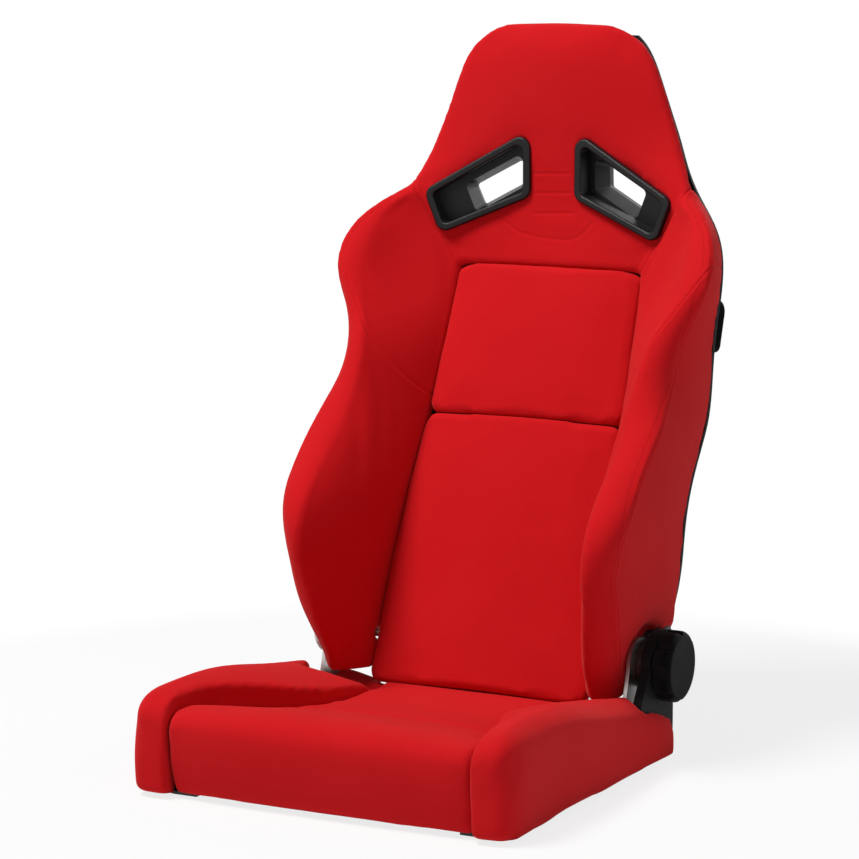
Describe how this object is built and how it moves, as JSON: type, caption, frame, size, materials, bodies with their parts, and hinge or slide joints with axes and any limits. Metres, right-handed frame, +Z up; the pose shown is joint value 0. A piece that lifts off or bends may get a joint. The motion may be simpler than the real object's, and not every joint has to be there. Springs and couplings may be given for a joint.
{
  "type": "reclining sports seat",
  "caption": "Reclining bucket seat with bolstered cushion, winged backrest, harness openings in a fixed headrest, knob recliner and fold lever.",
  "frame": {"origin": "centre of the four threaded holes in the underside of the rails, at the rails' underside", "axes": "+Z up, -Y the way the sitter faces, +X the sitter's left, the side of the knob"},
  "size_m": [0.556, 0.745, 0.932],
  "materials": {
    "seat_fabric": "woven",
    "shell_plastic": "grained",
    "trim_plastic": "satin",
    "frame_steel": "satin",
    "zinc_steel": "zinc plated",
    "spring_steel": "drawn wire"
  },
  "bodies": {
    "seat_base": {"base_rail_left": "frame_steel", "base_rail_right": "frame_steel", "mount_nuts": "zinc_steel", "base_front_tube": "frame_steel", "base_rear_tube": "frame_steel", "thigh_support_pan": "frame_steel", "spring_bar": "frame_steel", "seat_springs": "spring_steel", "spring_clips": "trim_plastic", "cushion_centre_pad": "seat_fabric", "cushion_bolster_left": "seat_fabric", "cushion_bolster_right": "seat_fabric", "hinge_lower_plate_left": "zinc_steel", "hinge_lower_plate_right": "zinc_steel", "recliner_housing_left": "zinc_steel", "recliner_housing_right": "zinc_steel", "hinge_bolts": "zinc_steel", "hinge_cover_right": "trim_plastic"},
    "recline_arms": {"recliner_gear_disc_left": "zinc_steel", "recliner_gear_disc_right": "zinc_steel", "recliner_arm_left": "zinc_steel", "recliner_arm_right": "zinc_steel"},
    "adjuster": {"recliner_cross_shaft": "zinc_steel", "recline_knob": "trim_plastic", "recliner_bush_left": "zinc_steel", "recliner_bush_right": "zinc_steel", "shaft_retaining_ring": "zinc_steel"},
    "backrest": {"upper_arm_left": "zinc_steel", "upper_arm_right": "zinc_steel", "back_frame_lower_tube": "frame_steel", "back_frame_hoop": "frame_steel", "headrest_support": "frame_steel", "back_spring_mat": "spring_steel", "back_pad_lower": "seat_fabric", "back_pad_upper": "seat_fabric", "back_bolster_left": "seat_fabric", "back_bolster_right": "seat_fabric", "shoulder_bolster_left": "seat_fabric", "shoulder_bolster_right": "seat_fabric", "headrest_pad": "seat_fabric", "back_shell": "shell_plastic", "belt_guide_front_left": "trim_plastic", "belt_guide_front_right": "trim_plastic", "belt_guide_rear_left": "trim_plastic", "belt_guide_rear_right": "trim_plastic"},
    "tilt_lever": {"tilt_lever": "trim_plastic"}
  },
  "joints": [
    {"name": "recline", "type": "hinge", "parent": "seat_base", "child": "recline_arms", "pos_m": [0, 0.241, 0.124], "axis": [1, 0, 0], "range_deg": [-56, 5]},
    {"name": "fold", "type": "hinge", "parent": "recline_arms", "child": "backrest", "pos_m": [0, 0.241, 0.124], "axis": [1, 0, 0], "range_deg": [0, 15]},
    {"name": "knob_turn", "type": "hinge", "parent": "seat_base", "child": "adjuster", "pos_m": [0, 0.241, 0.124], "axis": [1, 0, 0], "range_deg": [-1800, 180]},
    {"name": "lever_pull", "type": "hinge", "parent": "backrest", "child": "tilt_lever", "pos_m": [0.23976, 0.41384, 0.549], "axis": [0.6755, 0.7374, 0.0006], "range_deg": [0, 25], "stiffness_Nm_per_rad": 0.8, "springref_deg": -8.59}
  ],
  "couplings": [
    {"joint": "knob_turn", "follows": "recline", "ratio": 30}
  ]
}
